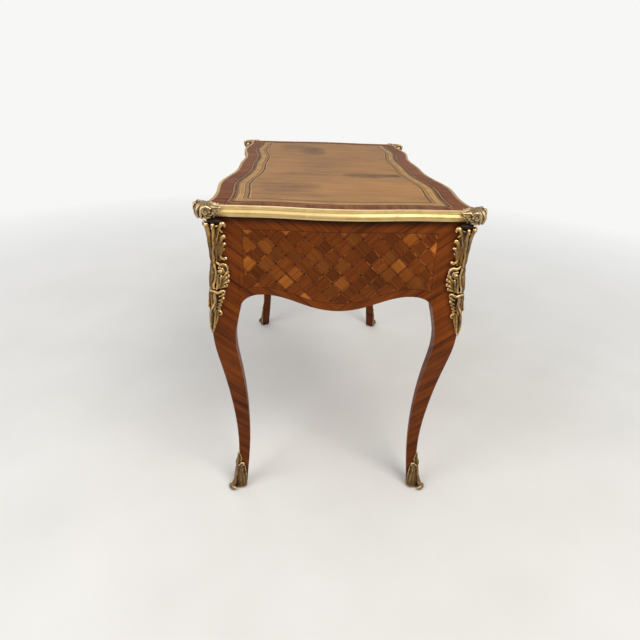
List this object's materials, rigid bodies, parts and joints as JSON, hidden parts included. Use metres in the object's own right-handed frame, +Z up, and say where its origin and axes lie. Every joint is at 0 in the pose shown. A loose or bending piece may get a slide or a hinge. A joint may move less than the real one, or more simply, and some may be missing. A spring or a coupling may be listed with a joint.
{
  "type": "writing table",
  "caption": "Serpentine writing table on cabriole legs, with a leather top in a brass edge, brass corner mounts and shoes, and locking drawers in the frieze.",
  "frame": {"origin": "on the floor, under the middle of the table", "axes": "+X along the table's length, -Y the side with the drawers, +Z up"},
  "size_m": [1.052, 0.608, 0.788],
  "materials": {
    "veneer": "french polished kingwood veneer, cross grain",
    "parquetry": "french polished cube and lozenge parquetry in two woods",
    "oak": "plain oak, waxed",
    "gilt_brass": "cast and chased, worn gilding",
    "polished_brass": "drawn moulding, pale and lightly worn",
    "tooled_leather": "tan, stained, with dark and gilt tooled borders",
    "steel": "filed, dull"
  },
  "bodies": {
    "table": {"leg_front_left": "veneer", "clasp_front_left": "gilt_brass", "corner_mount_front_left": "gilt_brass", "shoe_front_left": "gilt_brass", "leg_front_right": "veneer", "clasp_front_right": "gilt_brass", "corner_mount_front_right": "gilt_brass", "shoe_front_right": "gilt_brass", "leg_back_left": "veneer", "clasp_back_left": "gilt_brass", "corner_mount_back_left": "gilt_brass", "shoe_back_left": "gilt_brass", "leg_back_right": "veneer", "clasp_back_right": "gilt_brass", "corner_mount_back_right": "gilt_brass", "shoe_back_right": "gilt_brass", "end_panel_left": "parquetry", "end_panel_right": "parquetry", "back_panel": "parquetry", "front_apron": "veneer", "front_top_rail": "veneer", "partition_left": "oak", "partition_right": "oak", "drawer_runners": "oak", "top_board": "oak", "top_border": "veneer", "leather_inset": "tooled_leather", "edge_moulding_front": "polished_brass", "edge_moulding_back": "polished_brass", "edge_moulding_left": "polished_brass", "edge_moulding_right": "polished_brass", "mount_pins": "gilt_brass", "top_dowels": "oak"},
    "left_drawer": {"left_drawer_front": "parquetry", "left_drawer_side_left": "oak", "left_drawer_side_right": "oak", "left_drawer_back": "oak", "left_drawer_bottom": "oak", "left_drawer_lock": "steel", "left_drawer_escutcheon": "gilt_brass", "left_handle_mounts": "gilt_brass"},
    "centre_drawer": {"centre_drawer_front": "parquetry", "centre_drawer_side_left": "oak", "centre_drawer_side_right": "oak", "centre_drawer_back": "oak", "centre_drawer_bottom": "oak", "centre_drawer_lock": "steel", "centre_drawer_escutcheon": "gilt_brass"},
    "right_drawer": {"right_drawer_front": "parquetry", "right_drawer_side_left": "oak", "right_drawer_side_right": "oak", "right_drawer_back": "oak", "right_drawer_bottom": "oak", "right_drawer_lock": "steel", "right_drawer_escutcheon": "gilt_brass", "right_handle_mounts": "gilt_brass"},
    "left_bail": {"left_handle_bail": "gilt_brass"},
    "right_bail": {"right_handle_bail": "gilt_brass"},
    "key": {"centre_drawer_key": "steel"},
    "bolt": {"centre_drawer_bolt": "steel"}
  },
  "joints": [
    {"name": "left_drawer_slide", "type": "slide", "parent": "table", "child": "left_drawer", "axis": [0, -1, 0], "range_m": [0, 0.3]},
    {"name": "centre_drawer_slide", "type": "slide", "parent": "table", "child": "centre_drawer", "axis": [0, -1, 0], "range_m": [0, 0.3]},
    {"name": "right_drawer_slide", "type": "slide", "parent": "table", "child": "right_drawer", "axis": [0, -1, 0], "range_m": [0, 0.3]},
    {"name": "left_bail_swing", "type": "hinge", "parent": "left_drawer", "child": "left_bail", "pos_m": [-0.3305, -0.28, 0.68], "axis": [-1, 0, 0], "range_deg": [0, 100]},
    {"name": "right_bail_swing", "type": "hinge", "parent": "right_drawer", "child": "right_bail", "pos_m": [0.3305, -0.28, 0.68], "axis": [-1, 0, 0], "range_deg": [0, 100]},
    {"name": "key_turn", "type": "hinge", "parent": "centre_drawer", "child": "key", "pos_m": [0, -0.2707, 0.722], "axis": [0, 1, 0], "range_deg": [0, 180]},
    {"name": "bolt_throw", "type": "slide", "parent": "centre_drawer", "child": "bolt", "axis": [0, 0, 1], "range_m": [0, 0.007]}
  ],
  "couplings": [
    {"joint": "bolt_throw", "follows": "key_turn", "m_per_rad": 0.002228}
  ]
}
